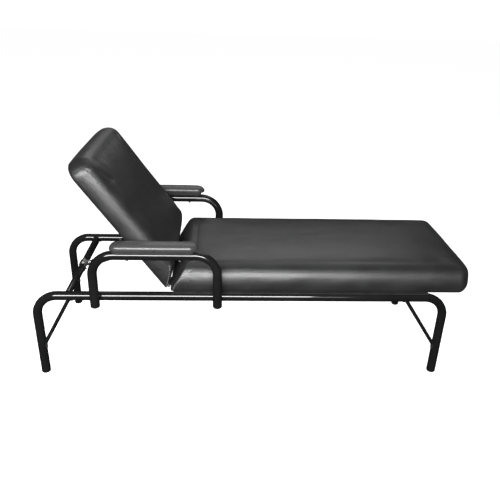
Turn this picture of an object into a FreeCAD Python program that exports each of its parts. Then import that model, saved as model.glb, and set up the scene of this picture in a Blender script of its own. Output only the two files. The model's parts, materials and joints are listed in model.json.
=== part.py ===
import math
import os

import FreeCAD
import Part

# Examination couch on a bent tube frame, with a raising backrest held by a ratchet stay.
# +X points to the foot end, +Y to the patient's left, +Z up. The origin is on the floor under
# the middle of the couch. The backrest is modelled raised, in its working position.

# Frame
tube_radius = 19.0
tube_wall = 2.0
bend_radius = 87.0
frame_half_width = 293.0
rail_height = 380.0
head_leg_x = -885.0
foot_leg_x = 822.0
cross_radius = 13.0
cross_wall = 1.5
head_cross_x = -756.0
middle_cross_x = -268.0
foot_cross_x = 554.0
brace_radius = 8.0
brace_wall = 1.5
brace_leg_height = 122.5
head_brace_rail_x = -741.0
foot_brace_rail_x = 647.0
glide_height = 9.0
glide_flat_radius = 11.0
glide_depth = 22.0

# Armrests
arm_half_width = frame_half_width + 2 * tube_radius
arm_head_x = -635.0
arm_foot_x = -140.0
arm_top_height = 584.0
arm_end_height = 356.0
arm_plug_height = 7.0
arm_plug_depth = 12.0
arm_pad_x = (-557.0, -222.0)
arm_pad_y = (307.5, 374.5)
arm_pad_top = 641.0
arm_pad_corner = 25.0
arm_pad_edge = 12.0
arm_pad_low_edge = 8.0
arm_base_thickness = 10.0
arm_base_inset = 9.0
arm_screw_x = (-495.0, -289.0)
arm_screw_radius = 3.0

# Cushions and boards, before the backrest is raised
board_underside = 402.0
board_thickness = 12.0
cover_thickness = 1.5
cushion_half_width = 302.5
seat_foot_end = 904.0
seat_head_bottom = -336.0
seat_head_top = -272.0
seat_top = 502.0
back_top = 490.0
back_foot_bottom = -362.0
back_foot_top = -437.0
back_head_end = -974.0
hinge_end_corner = 28.0
seat_foot_corner = 40.0
back_head_corner = 58.0
seat_edge = 24.0
back_edge = 24.0
strip_half_width = 11.0
seat_screw_y = (-180.0, 0.0, 180.0)
seat_screw_radius = 3.0

# Hinge between the seat board and the back board
hinge_x = -346.0
hinge_z = 396.0
raise_angle = 54.4
hinge_y = (-200.0, 0.0, 200.0)
hinge_length = 70.0
knuckle_radius = board_underside - hinge_z
knuckle_count = 5
knuckle_gap = 0.3
knuckle_relief = 1.4
leaf_thickness = 2.5
leaf_width = 44.0
hinge_pin_radius = 2.45
hinge_pin_play = 0.05
wood_screw_radius = 2.0
wood_screw_head = 3.8
wood_screw_length = 12.0

# Ratchet stay
stay_foot_offset = (27.0, 4.0)
stay_slot_along = 130.0
stay_slot_below = 36.0
stay_pin_radius = 4.0
stay_pin_play = 0.05
channel_half_width = 6.0
channel_wall = 2.0
channel_top = 11.0
channel_bottom = -17.0
channel_span = (16.0, 190.0)
rod_half_width = 3.7
rod_half_height = 8.7
rod_overlap = 89.0
notch_pitch = 9.0
notch_count = 8
slot_half_width = 7.4
slot_span = (-14.0, 17.0)
bracket_wall = 3.0
bracket_gap = 12.0
clamp_half_width = 16.0
clamp_wall = 4.0
clamp_slit = 1.0
clamp_flange = (5.0, 20.0)
buffer_radius = 12.0
buffer_thickness = 8.6

sides = {"right": -1.0, "left": 1.0}
up = FreeCAD.Vector(0, 0, 1)
across = FreeCAD.Vector(0, 1, 0)
along = FreeCAD.Vector(1, 0, 0)


def point(x, y, z):
    return FreeCAD.Vector(x, y, z)


def save(name, solids):
    shape = solids[0] if len(solids) == 1 else Part.makeCompound(solids)
    shape.exportStep(os.path.join("parts", name + ".step"))


def cylinder(start, end, radius):
    direction = end - start
    return Part.makeCylinder(radius, direction.Length, start, direction)


def box(x_span, y_span, z_span):
    corner = point(x_span[0], y_span[0], z_span[0])
    return Part.makeBox(
        x_span[1] - x_span[0],
        y_span[1] - y_span[0],
        z_span[1] - z_span[0],
        corner,
    )


def bent_path(corners, radius):
    # Straight runs joined by tangent arcs.
    edges = []
    start = corners[0]
    for before, corner, after in zip(corners, corners[1:], corners[2:]):
        into = (corner - before).normalize()
        out = (after - corner).normalize()
        setback = radius * math.tan(into.getAngle(out) / 2)
        arc_start = corner - into * setback
        arc_end = corner + out * setback
        inward = (out - into).normalize()
        centre = corner + inward * math.hypot(radius, setback)
        arc_middle = centre - inward * radius
        edges.append(Part.LineSegment(start, arc_start).toShape())
        edges.append(Part.Arc(arc_start, arc_middle, arc_end).toShape())
        start = arc_end
    edges.append(Part.LineSegment(start, corners[-1]).toShape())
    return Part.Wire(edges)


def swept(path, radius):
    start = path.Vertexes[0].Point
    direction = path.Edges[0].tangentAt(path.Edges[0].FirstParameter)
    circle = Part.Wire(Part.makeCircle(radius, start, direction))
    return path.makePipeShell([circle], True, True)


def bent_tube(corners, radius, outer, wall):
    path = bent_path(corners, radius)
    return swept(path, outer).cut(swept(path, outer - wall))


def straight_tube(start, end, outer, wall):
    return cylinder(start, end, outer).cut(cylinder(start, end, outer - wall))


def end_plug(x, y, tube_end, height, flat_radius, depth):
    # Domed plug, its rim as wide as the tube, with a spigot pushed up into it.
    low = tube_end - height
    inner = tube_radius - tube_wall
    rise = 0.75 * height
    bulge = point(tube_radius - 0.28 * (tube_radius - flat_radius), 0, low + 0.3 * rise)
    edges = [
        Part.LineSegment(point(0, 0, low), point(flat_radius, 0, low)),
        Part.Arc(point(flat_radius, 0, low), bulge, point(tube_radius, 0, low + rise)),
        Part.LineSegment(point(tube_radius, 0, low + rise), point(tube_radius, 0, tube_end)),
        Part.LineSegment(point(tube_radius, 0, tube_end), point(inner, 0, tube_end)),
        Part.LineSegment(point(inner, 0, tube_end), point(inner, 0, tube_end + depth)),
        Part.LineSegment(point(inner, 0, tube_end + depth), point(0, 0, tube_end + depth)),
        Part.LineSegment(point(0, 0, tube_end + depth), point(0, 0, low)),
    ]
    outline = Part.Wire([edge.toShape() for edge in edges])
    plug = Part.Face(outline).revolve(point(0, 0, 0), up, 360)
    plug.translate(point(x, y, 0))
    return plug


def hex_bolt(base, direction, head_width, head_height, radius, length):
    # The head sits on the far side of base, the shank runs along direction.
    head = Part.Face(Part.makePolygon([
        point(
            head_width / math.sqrt(3) * math.cos(math.radians(60 * turn)),
            head_width / math.sqrt(3) * math.sin(math.radians(60 * turn)),
            -head_height,
        )
        for turn in range(7)
    ])).extrude(up * head_height)
    shank = Part.makeCylinder(radius, length)
    bolt = head.fuse(shank).removeSplitter()
    bolt.Placement = FreeCAD.Placement(base, FreeCAD.Rotation(up, direction))
    return bolt


def wood_screw(base, direction):
    # Countersunk: the flat of the head is at base, the shank runs along direction.
    sink = wood_screw_head - wood_screw_radius
    head = Part.makeCone(wood_screw_head, wood_screw_radius, sink)
    shank = Part.makeCylinder(wood_screw_radius, wood_screw_length)
    screw = head.fuse(shank).removeSplitter()
    screw.Placement = FreeCAD.Placement(base, FreeCAD.Rotation(up, direction))
    return screw


def cut_all(shape, tools):
    for tool in tools:
        shape = shape.cut(tool)
    return shape


def edges_between(shape, low, high):
    # The edges that lie wholly between two heights.
    return [
        piece for piece in shape.Edges
        if piece.BoundBox.ZMin > low and piece.BoundBox.ZMax < high
    ]


def round_uprights(shape, radius, x_low=-math.inf, x_high=math.inf):
    uprights = [
        piece for piece in shape.Edges
        if abs(piece.Vertexes[0].Z - piece.Vertexes[-1].Z) > 1
        and x_low < piece.BoundBox.Center.x < x_high
    ]
    return shape.makeFillet(radius, uprights)


def padded_form(profile, corners, edge):
    # Profile in the XZ plane, extruded to the full width, with its corners and top edges rounded.
    # corners holds a radius for the low-x end and one for the high-x end.
    outline = [point(x, -cushion_half_width, z) for x, z in profile]
    block = Part.Face(Part.makePolygon(outline + outline[:1]))
    block = block.extrude(across * 2 * cushion_half_width)
    middle = block.BoundBox.Center.x
    top = block.BoundBox.ZMax
    block = round_uprights(block, corners[0], x_high=middle)
    block = round_uprights(block, corners[1], x_low=middle)
    return block.makeFillet(edge, edges_between(block, top - 0.1, top + 0.1))


def upholstery(form):
    # Splits a padded form into its board, its foam and the cover stretched round both.
    low = board_underside
    bottom = [face for face in form.Faces if face.BoundBox.ZMax < low + 0.01]
    cover = form.makeThickness(bottom[:1], -cover_thickness, 1e-3)
    core = form.cut(cover)
    room = core.BoundBox
    slab = box(
        (room.XMin - 1, room.XMax + 1),
        (room.YMin - 1, room.YMax + 1),
        (low - 1, low + board_thickness),
    )
    return core.common(slab), core.cut(slab), cover


def raised(shape):
    turned = shape.copy()
    turned.rotate(point(hinge_x, 0, hinge_z), across, raise_angle)
    return turned


os.makedirs("parts", exist_ok=True)

# Frame: two bent side frames, three cross tubes, four braces and four glides
rail_cuts = []
for name, side in sides.items():
    y = side * frame_half_width
    corners = [
        point(head_leg_x, y, glide_height),
        point(head_leg_x, y, rail_height),
        point(foot_leg_x, y, rail_height),
        point(foot_leg_x, y, glide_height),
    ]
    side_frame = bent_tube(corners, bend_radius, tube_radius, tube_wall)
    rail_cuts.append(cylinder(
        point(head_leg_x, y, rail_height), point(foot_leg_x, y, rail_height), tube_radius,
    ))
    # Bolts from inside the rail into the armrest legs
    arm_bolts = [
        hex_bolt(
            point(x, y - side * tube_radius, rail_height),
            across * side, 13.0, 5.3, 4.0, 2 * tube_radius + 2 * tube_wall + 6,
        )
        for x in (arm_head_x, arm_foot_x)
    ]
    inserts = [
        straight_tube(
            point(x, side * (arm_half_width - tube_radius + tube_wall), rail_height),
            point(x, side * (arm_half_width - tube_radius + tube_wall + 8), rail_height),
            6.5, 2.5,
        )
        for x in (arm_head_x, arm_foot_x)
    ]
    save("side_frame_" + name, [cut_all(side_frame, arm_bolts)])
    save("armrest_bolts_" + name, arm_bolts)

    # Armrest tube with its end plugs
    arm_y = side * arm_half_width
    arm_corners = [
        point(arm_head_x, arm_y, arm_end_height),
        point(arm_head_x, arm_y, arm_top_height),
        point(arm_foot_x, arm_y, arm_top_height),
        point(arm_foot_x, arm_y, arm_end_height),
    ]
    arm_tube = bent_tube(arm_corners, bend_radius, tube_radius, tube_wall)
    pad_low = arm_top_height + tube_radius
    screws = [
        hex_bolt(
            point(x, arm_y, arm_top_height - tube_radius),
            up, 9.0, 3.6, arm_screw_radius, 2 * tube_radius + arm_base_thickness - 1,
        )
        for x in arm_screw_x
    ]
    save("armrest_tube_" + name, [cut_all(arm_tube, arm_bolts + screws)])
    save("armrest_inserts_" + name, [insert.cut(arm_tube) for insert in inserts])
    save("armrest_plugs_" + name, [
        end_plug(x, arm_y, arm_end_height, arm_plug_height, 9.0, arm_plug_depth)
        for x in (arm_head_x, arm_foot_x)
    ])
    save("arm_pad_screws_" + name, screws)

    # Arm pad: a cushion on a base board that is set in from its edge
    pad_y = sorted(side * edge for edge in arm_pad_y)
    pad_split = pad_low + arm_base_thickness
    pad = round_uprights(box(arm_pad_x, pad_y, (pad_split, arm_pad_top)), arm_pad_corner)
    pad = pad.makeFillet(arm_pad_edge, edges_between(pad, arm_pad_top - 0.1, arm_pad_top + 0.1))
    pad = pad.makeFillet(arm_pad_low_edge, edges_between(pad, pad_split - 0.1, pad_split + 0.1))
    base = box(
        (arm_pad_x[0] + arm_base_inset, arm_pad_x[1] - arm_base_inset),
        (pad_y[0] + arm_base_inset, pad_y[1] - arm_base_inset),
        (pad_low, pad_split),
    )
    base = round_uprights(base, arm_pad_corner - arm_base_inset)
    save("arm_pad_cushion_" + name, [pad])
    save("arm_pad_base_" + name, [cut_all(base, screws)])

    # Braces and glides at each leg
    for end, leg_x, rail_x in (
        ("head", head_leg_x, head_brace_rail_x),
        ("foot", foot_leg_x, foot_brace_rail_x),
    ):
        leg = cylinder(point(leg_x, y, 0), point(leg_x, y, rail_height), tube_radius)
        brace = straight_tube(
            point(leg_x, y, brace_leg_height),
            point(rail_x, y, rail_height),
            brace_radius, brace_wall,
        )
        brace = cut_all(brace, [leg, rail_cuts[-1]])
        pieces = sorted(brace.Solids, key=lambda solid: solid.Volume)
        save("brace_" + end + "_" + name, [pieces[-1]])
        glide = end_plug(
            leg_x, y, glide_height, glide_height, glide_flat_radius, glide_depth,
        )
        save("foot_glide_" + end + "_" + name, [glide])

    # Thin rubber strip that the seat board lies on
    strip = box(
        (seat_head_bottom + 14, seat_foot_end - 160),
        sorted((y - strip_half_width, y + strip_half_width)),
        (rail_height + tube_radius, board_underside),
    )
    rounded = strip.cut(rail_cuts[-1])
    save("seat_strip_" + name, [rounded])

cross_solids = {}
for name, x in (
    ("head", head_cross_x),
    ("middle", middle_cross_x),
    ("foot", foot_cross_x),
):
    tube = straight_tube(
        point(x, -frame_half_width, rail_height),
        point(x, frame_half_width, rail_height),
        cross_radius, cross_wall,
    )
    cross_solids[name] = cut_all(tube, rail_cuts)

# Seat: board, foam and cover, bolted up through the middle and foot cross tubes
seat_profile = [
    (seat_head_bottom, board_underside),
    (seat_foot_end, board_underside),
    (seat_foot_end, seat_top),
    (seat_head_top, seat_top),
]
seat_form = padded_form(seat_profile, (hinge_end_corner, seat_foot_corner), seat_edge)
seat_board, seat_foam, seat_cover = upholstery(seat_form)

tube_top = rail_height + cross_radius
seat_bolt_length = board_underside + board_thickness - 1 - rail_height + cross_radius
seat_bolts = []
seat_nuts = []
seat_spacers = []
for x in (middle_cross_x, foot_cross_x):
    for y in seat_screw_y:
        seat_bolts.append(hex_bolt(
            point(x, y, rail_height - cross_radius),
            up, 10.0, 4.0, seat_screw_radius, seat_bolt_length,
        ))
        spacer = cylinder(point(x, y, tube_top - 3), point(x, y, board_underside), 9.0)
        spacer = spacer.cut(cylinder(
            point(x, -frame_half_width, rail_height),
            point(x, frame_half_width, rail_height),
            cross_radius,
        ))
        seat_spacers.append(spacer.cut(seat_bolts[-1]))
        nut = cylinder(
            point(x, y, board_underside + board_thickness - 2),
            point(x, y, board_underside + board_thickness),
            10.0,
        )
        barrel = cylinder(
            point(x, y, board_underside + 3),
            point(x, y, board_underside + board_thickness),
            4.5,
        )
        seat_nuts.append(nut.fuse(barrel).removeSplitter().cut(seat_bolts[-1]))
save("seat_bolts", seat_bolts)
save("seat_spacers", seat_spacers)
save("seat_tee_nuts", seat_nuts)

# Back: the same build, drawn flat and then raised about the hinge
back_profile = [
    (back_head_end, board_underside),
    (back_foot_bottom, board_underside),
    (back_foot_top, back_top),
    (back_head_end, back_top),
]
back_form = padded_form(back_profile, (back_head_corner, hinge_end_corner), back_edge)
back_board, back_foam, back_cover = upholstery(back_form)

# Butt hinges
knuckle_length = hinge_length / knuckle_count
fixed_screws = []
moving_screws = []
hinge_pins = []
axis_line = point(hinge_x, 0, hinge_z)
for name, centre in zip(("right", "middle", "left"), hinge_y):
    start = centre - hinge_length / 2
    leaf_z = (board_underside - leaf_thickness, board_underside)
    fixed_leaf = box((hinge_x, hinge_x + leaf_width), (start, start + hinge_length), leaf_z)
    moving_leaf = box(
        (hinge_x - leaf_width - 16, hinge_x), (start, start + hinge_length), leaf_z,
    )
    for index in range(knuckle_count):
        low = start + index * knuckle_length
        high = low + knuckle_length
        relief = cylinder(
            axis_line + across * (low - knuckle_gap / 2),
            axis_line + across * (high + knuckle_gap / 2),
            knuckle_radius + knuckle_relief,
        )
        barrel = cylinder(
            axis_line + across * (low + knuckle_gap / 2),
            axis_line + across * (high - knuckle_gap / 2),
            knuckle_radius,
        )
        if index % 2 == 0:
            moving_leaf = moving_leaf.cut(relief)
            fixed_leaf = fixed_leaf.fuse(barrel)
        else:
            fixed_leaf = fixed_leaf.cut(relief)
            moving_leaf = moving_leaf.fuse(barrel)
    pin_start = axis_line + across * (start - 1.5)
    pin_end = axis_line + across * (start + hinge_length + 1.5)
    pin = cylinder(pin_start, pin_end, hinge_pin_radius)
    for end, way in ((pin_start, -1), (pin_end, 1)):
        pin = pin.fuse(cylinder(end, end + across * way * 1.5, hinge_pin_radius + 1.5))
    hinge_pins.append(pin.removeSplitter())
    bore = cylinder(
        pin_start, pin_end, hinge_pin_radius + hinge_pin_play,
    )
    leaf_screws = []
    back_screws = []
    for offset in (-24.0, 0.0, 24.0):
        screw_z = board_underside - leaf_thickness
        leaf_screws.append(wood_screw(point(hinge_x + 30, centre + offset, screw_z), up))
        back_screws.append(wood_screw(point(hinge_x - 44, centre + offset, screw_z), up))
    fixed_leaf = cut_all(fixed_leaf.removeSplitter(), [pin] + leaf_screws)
    moving_leaf = cut_all(moving_leaf.removeSplitter(), [bore] + back_screws)
    save("hinge_fixed_leaf_" + name, [fixed_leaf])
    save("hinge_moving_leaf_" + name, [raised(moving_leaf)])
    fixed_screws += leaf_screws
    moving_screws += back_screws
save("hinge_pins", hinge_pins)
save("hinge_fixed_screws", fixed_screws)
save("hinge_moving_screws", [raised(screw) for screw in moving_screws])

seat_board = cut_all(seat_board, seat_bolts + seat_nuts + fixed_screws)
save("seat_board", [seat_board])
save("seat_foam", [cut_all(seat_foam, seat_bolts)])
save("seat_cover", [seat_cover])

# Rubber buffers that meet the head cross tube when the backrest is flat
buffers = []
buffer_screws = []
for side in sides.values():
    y = side * 170.0
    pad = cylinder(
        point(head_cross_x, y, board_underside - buffer_thickness),
        point(head_cross_x, y, board_underside),
        buffer_radius,
    )
    screw = wood_screw(point(head_cross_x, y, board_underside - buffer_thickness + 2.2), up)
    recess = cylinder(
        point(head_cross_x, y, board_underside - buffer_thickness),
        point(head_cross_x, y, board_underside - buffer_thickness + 2.2),
        wood_screw_head,
    )
    buffers.append(pad.cut(recess).cut(screw))
    buffer_screws.append(screw)
save("back_buffers", [raised(pad) for pad in buffers])
save("back_buffer_screws", [raised(screw) for screw in buffer_screws])

# Slotted bracket under the back board: a channel with a long slot in each cheek
slot_x = hinge_x - stay_slot_along
slot_z = board_underside - stay_slot_below
bracket_x = (slot_x - slot_span[1] - 20, slot_x - slot_span[0] + 20)
cheek_low = slot_z - slot_half_width - 6
cheek_y = (bracket_gap, bracket_gap + bracket_wall)
bracket = box(
    bracket_x, (-cheek_y[1] - 14, cheek_y[1] + 14),
    (board_underside - bracket_wall, board_underside),
)
for side in sides.values():
    cheek = box(bracket_x, sorted(side * edge for edge in cheek_y), (cheek_low, board_underside))
    low_edges = [
        piece for piece in cheek.Edges
        if piece.BoundBox.ZMax < cheek_low + 0.1 and piece.BoundBox.YLength > 1
    ]
    bracket = bracket.fuse(cheek.makeFillet(9.0, low_edges))
slot_ends = [slot_x - slot_span[1], slot_x - slot_span[0]]
slot = box(
    slot_ends, (-cheek_y[1] - 1, cheek_y[1] + 1),
    (slot_z - slot_half_width, slot_z + slot_half_width),
)
for x in slot_ends:
    slot = slot.fuse(cylinder(
        point(x, -cheek_y[1] - 1, slot_z), point(x, cheek_y[1] + 1, slot_z), slot_half_width,
    ))
bracket_screws = [
    wood_screw(point(x, side * (cheek_y[1] + 7), board_underside - bracket_wall), up)
    for x in (bracket_x[0] + 9, bracket_x[1] - 9)
    for side in sides.values()
]
bracket = cut_all(bracket.cut(slot).removeSplitter(), bracket_screws)
save("back_bracket", [raised(bracket)])
save("back_bracket_screws", [raised(screw) for screw in bracket_screws])

back_board = cut_all(back_board, moving_screws + buffer_screws + bracket_screws)
save("back_board", [raised(back_board)])
save("back_foam", [raised(back_foam)])
save("back_cover", [raised(back_cover)])

# Stay: drawn along +X from its foot pivot, then turned to point at the slot
stay_foot = point(head_cross_x + stay_foot_offset[0], 0, rail_height + stay_foot_offset[1])
slot_centre = point(slot_x, 0, slot_z)
slot_turn = FreeCAD.Rotation(across, raise_angle)
stay_head = axis_line + slot_turn.multVec(slot_centre - axis_line)
stay_reach = (stay_head - stay_foot).Length
stay_slope = math.degrees(math.atan2(stay_head.z - stay_foot.z, stay_head.x - stay_foot.x))
stay_place = FreeCAD.Placement(stay_foot, FreeCAD.Rotation(across, -stay_slope))
print("stay foot", stay_foot, "head", stay_head, "reach", stay_reach, "slope", stay_slope)


def placed(shape):
    moved = shape.copy()
    moved.Placement = stay_place.multiply(moved.Placement)
    return moved


def cross_pin(x, radius, half_length, head_radius, head_start, head_height):
    pin = cylinder(point(x, -half_length, 0), point(x, half_length, 0), radius)
    for side in sides.values():
        start = point(x, side * head_start, 0)
        pin = pin.fuse(cylinder(start, start + across * side * head_height, head_radius))
    return pin.removeSplitter()


outer_y = (-channel_half_width, channel_half_width)
inner_y = (-channel_half_width + channel_wall, channel_half_width - channel_wall)
channel = box(channel_span, outer_y, (channel_bottom, channel_top))
hollow = box(
    (channel_span[0] + 4, channel_span[1] + 1), inner_y,
    (channel_bottom + channel_wall, channel_top - channel_wall),
)
tongue = box((0, channel_span[0] + 1), (-5, 5), (-9, 9))
tongue = tongue.fuse(cylinder(point(0, -5, 0), point(0, 5, 0), 9.0))
foot_bore = cylinder(point(0, -20, 0), point(0, 20, 0), stay_pin_radius + stay_pin_play)
channel = channel.cut(hollow).fuse(tongue).cut(foot_bore).removeSplitter()
save("stay_channel", [placed(channel)])

rod = box(
    (stay_reach - (channel_span[1] - 0) - 5, stay_reach),
    (-rod_half_width, rod_half_width), (-rod_half_height, rod_half_height),
)
rod = rod.fuse(cylinder(
    point(stay_reach, -rod_half_width, 0), point(stay_reach, rod_half_width, 0), rod_half_height,
))
rod_low = stay_reach - channel_span[1] - 5
for index in range(notch_count):
    start = rod_low + 10 + index * notch_pitch
    notch = Part.Face(Part.makePolygon([
        point(start, -rod_half_width - 1, -rod_half_height - 0.1),
        point(start + 6, -rod_half_width - 1, -rod_half_height - 0.1),
        point(start + 6, -rod_half_width - 1, -rod_half_height + 4.5),
        point(start, -rod_half_width - 1, -rod_half_height - 0.1),
    ])).extrude(across * (2 * rod_half_width + 2))
    rod = rod.cut(notch)
upper_pin = cross_pin(stay_reach, stay_pin_radius, 16.0, 10.0, bracket_gap + bracket_wall + 0.5, 2.0)
for side in sides.values():
    spacer = cylinder(
        point(stay_reach, side * rod_half_width, 0),
        point(stay_reach, side * (bracket_gap - 0.4), 0),
        6.5,
    )
    upper_pin = upper_pin.fuse(spacer)
upper_pin = upper_pin.removeSplitter()
save("stay_rod", [placed(rod.removeSplitter().cut(upper_pin))])
save("stay_upper_pin", [placed(upper_pin)])

# Spring pawl lying along the floor of the channel under the rod
pawl_end = channel_span[1] - 8
pawl_floor = channel_bottom + channel_wall
pawl = box((pawl_end - 46, pawl_end), (-3.4, 3.4), (pawl_floor, pawl_floor + 0.9))
tooth = Part.Face(Part.makePolygon([
    point(pawl_end - 6, -3.4, pawl_floor + 0.9),
    point(pawl_end - 1, -3.4, pawl_floor + 0.9),
    point(pawl_end - 1, -3.4, -rod_half_height - 0.5),
    point(pawl_end - 3, -3.4, -rod_half_height - 0.5),
    point(pawl_end - 6, -3.4, pawl_floor + 0.9),
])).extrude(across * 6.8)
save("stay_pawl", [placed(pawl.fuse(tooth).removeSplitter())])

# Clamp on the head cross tube: a band with two ears, pinched together below by one bolt
lower_pin = cross_pin(0, stay_pin_radius, 12.0, 6.5, 10.4, 2.5)
lower_pin.translate(stay_foot)
save("stay_lower_pin", [lower_pin])
tube_axis = point(head_cross_x, 0, rail_height)
band_radius = cross_radius + clamp_wall
flange_low = rail_height - cross_radius - clamp_flange[1]
band = cylinder(
    tube_axis - across * clamp_half_width,
    tube_axis + across * clamp_half_width,
    band_radius,
)
band = band.fuse(box(
    (head_cross_x - clamp_flange[0], head_cross_x + clamp_flange[0]),
    (-clamp_half_width, clamp_half_width),
    (flange_low, rail_height),
))
bar = cylinder(
    tube_axis - across * (clamp_half_width + 1),
    tube_axis + across * (clamp_half_width + 1),
    cross_radius,
)
slit = box(
    (head_cross_x - clamp_slit, head_cross_x + clamp_slit),
    (-clamp_half_width - 1, clamp_half_width + 1),
    (flange_low - 1, rail_height),
)
clamp = band.cut(bar).cut(slit)
for side in sides.values():
    ear_y = sorted((side * 5.4, side * 10.0))
    ear = box(
        (head_cross_x + cross_radius + 1, stay_foot.x), ear_y,
        (stay_foot.z - 9, stay_foot.z + 9),
    )
    eye = cylinder(
        point(stay_foot.x, ear_y[0], stay_foot.z), point(stay_foot.x, ear_y[1], stay_foot.z), 9.0,
    )
    clamp = clamp.fuse(ear.fuse(eye)).cut(bar)
clamp_bolt_z = rail_height - cross_radius - 0.62 * clamp_flange[1]
clamp_bolt = hex_bolt(
    point(head_cross_x - clamp_flange[0], 0, clamp_bolt_z), along, 8.0, 3.5, 2.5, 18.0,
)
clamp_nut = hex_bolt(
    point(head_cross_x + clamp_flange[0] + 4, 0, clamp_bolt_z), along, 8.0, 4.0, 2.5, 0.5,
).cut(clamp_bolt)
clamp_nut = sorted(clamp_nut.Solids, key=lambda solid: solid.Volume)[-1]
save("stay_clamp", [cut_all(clamp.removeSplitter(), [clamp_bolt, lower_pin])])
save("stay_clamp_bolt", [clamp_bolt, clamp_nut])

for name in ("middle", "foot"):
    cross_solids[name] = cut_all(cross_solids[name], seat_bolts)
for name, solid in cross_solids.items():
    save(name + "_cross_tube", [solid])
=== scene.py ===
import json
import math

import bmesh
import bpy
from mathutils import Matrix, Vector, noise
from mathutils.bvhtree import BVHTree


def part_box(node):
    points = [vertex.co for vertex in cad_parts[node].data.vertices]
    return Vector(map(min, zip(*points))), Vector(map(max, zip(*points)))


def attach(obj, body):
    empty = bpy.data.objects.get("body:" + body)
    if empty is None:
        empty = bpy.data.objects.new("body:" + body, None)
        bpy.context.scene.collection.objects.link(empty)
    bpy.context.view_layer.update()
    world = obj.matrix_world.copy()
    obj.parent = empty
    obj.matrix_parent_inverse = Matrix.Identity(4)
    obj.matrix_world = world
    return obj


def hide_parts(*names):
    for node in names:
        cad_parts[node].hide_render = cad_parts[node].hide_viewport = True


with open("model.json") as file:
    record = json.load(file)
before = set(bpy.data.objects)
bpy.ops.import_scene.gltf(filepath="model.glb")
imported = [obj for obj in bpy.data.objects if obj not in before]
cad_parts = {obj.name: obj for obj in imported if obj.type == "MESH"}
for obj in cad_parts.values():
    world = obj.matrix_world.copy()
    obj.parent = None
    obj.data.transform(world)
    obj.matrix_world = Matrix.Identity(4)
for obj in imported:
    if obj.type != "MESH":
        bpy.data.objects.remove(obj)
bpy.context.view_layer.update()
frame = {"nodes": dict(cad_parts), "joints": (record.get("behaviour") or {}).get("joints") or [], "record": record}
tilt = next(joint for joint in frame["joints"] if joint["name"] == "backrest_tilt")

def addNode(tree, kind, values=None, **settings):
    node = tree.nodes.new(kind)
    for key, value in settings.items():
        setattr(node, key, value)
    for socket, value in (values or {}).items():
        if isinstance(value, bpy.types.NodeSocket):
            tree.links.new(value, node.inputs[socket])
        else:
            node.inputs[socket].default_value = value
    return node


# Camera, floor and lights.
cameraSetup = {
    "place": (-0.117, -2.2854, 1.5351),
    "down": 0.4408,  # radians below the horizon
    "turn": 0.0530,
    "roll": 0.0316,
    "lens": 39.774,
    "sensor": 36.0,
}
stageSetup = {
    "floorSize": 40.0,
    "floorColour": (0.86, 0.86, 0.86, 1),
    "roomColour": (1.0, 1.0, 1.0, 1),
    "floorGlow": 0.86,
    "skyGlow": 0.16,  # soft light from above
    "groundGlow": 0.05,  # and from below
    "mirrorShare": 0.30,  # how much of the room the gloss shows
    "backdropGlow": 1.05,
}
lightSetup = {
    "front": {"from": (-0.55, -2.50, 1.62), "to": (-0.30, -0.3, 0.5), "size": (2.5, 0.75), "power": 172},
    "fill": {"from": (-0.40, -3.4, 1.50), "to": (-0.20, 0, 0.5), "size": (3.2, 1.0), "power": 34},
    "top": {"from": (0.2, 0.5, 3.4), "to": (0.2, 0.0, 0.4), "size": (2.6, 1.6), "power": 13},
    "back": {"from": (0.1, 2.6, 2.65), "to": (0.2, 0, 0.5), "size": (3.4, 0.9), "power": 22},
}


def makeCamera(setup):
    data = bpy.data.cameras.new("viewCamera")
    data.lens = setup["lens"]
    data.sensor_width = setup["sensor"]
    data.clip_start = 0.05
    data.clip_end = 100
    down, turn, roll = setup["down"], setup["turn"], setup["roll"]
    forward = Vector((math.sin(turn) * math.cos(down), math.cos(turn) * math.cos(down), -math.sin(down)))
    level = Vector((math.cos(turn), -math.sin(turn), 0))
    upward = level.cross(forward)
    sideways = level * math.cos(roll) + upward * math.sin(roll)
    upright = upward * math.cos(roll) - level * math.sin(roll)
    camera = bpy.data.objects.new("viewCamera", data)
    facing = Matrix((sideways, upright, -forward)).transposed().to_4x4()
    camera.matrix_world = Matrix.Translation(setup["place"]) @ facing
    bpy.context.scene.collection.objects.link(camera)
    bpy.context.scene.camera = camera


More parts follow.
